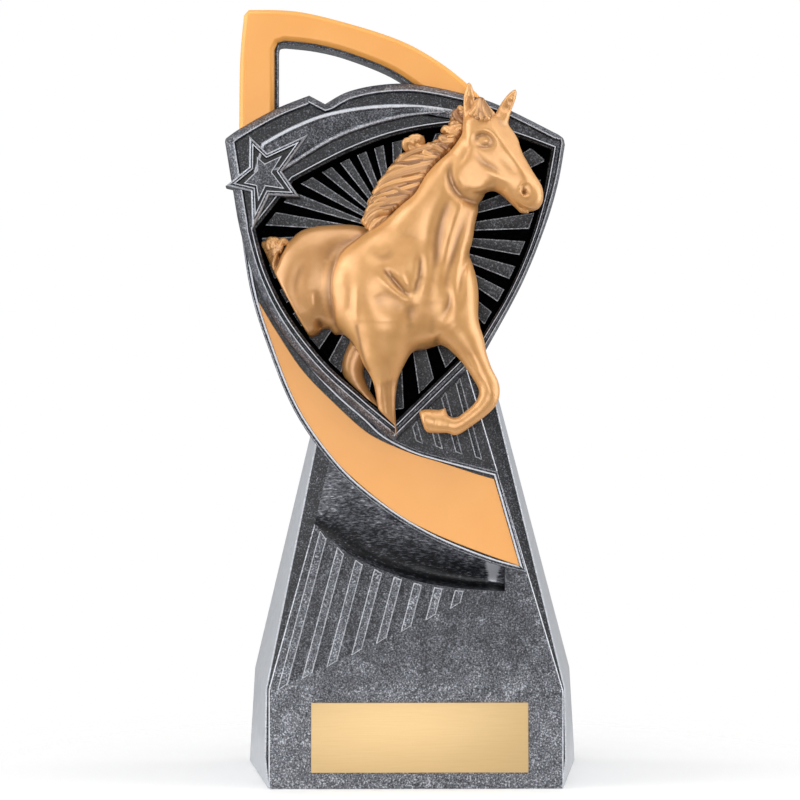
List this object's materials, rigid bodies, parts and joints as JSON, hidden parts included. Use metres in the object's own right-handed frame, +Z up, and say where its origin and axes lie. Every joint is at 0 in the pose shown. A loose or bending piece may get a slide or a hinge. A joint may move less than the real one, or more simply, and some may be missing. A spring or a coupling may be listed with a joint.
{
  "type": "equestrian trophy",
  "caption": "Standing resin award: a tapering plinth with a bare engraving plate, a looping band, and a sunburst shield from which a galloping horse emerges in half round.",
  "frame": {"origin": "centre of the plinth's underside, halfway between its front and back edges and on the middle of its width", "axes": "+Z up, -Y out of the front that carries the plate, the shield and the horse, +X to the viewer's right"},
  "size_m": [0.0977, 0.0639, 0.2098],
  "materials": {
    "antique_silver_resin": "cast resin, dark wash in the recesses and silver rubbed over the raised edges",
    "satin_orange_paint": "flat orange-gold paint, satin, on the band",
    "satin_gold_paint": "satin gold paint with a brown wash in the folds, on the horse",
    "pale_gold_plate": "thin sheet anodised pale gold, satin, bare"
  },
  "bodies": {
    "root": {"trophy_casting": "antique_silver_resin", "engraving_plate": "pale_gold_plate"}
  },
  "joints": []
}
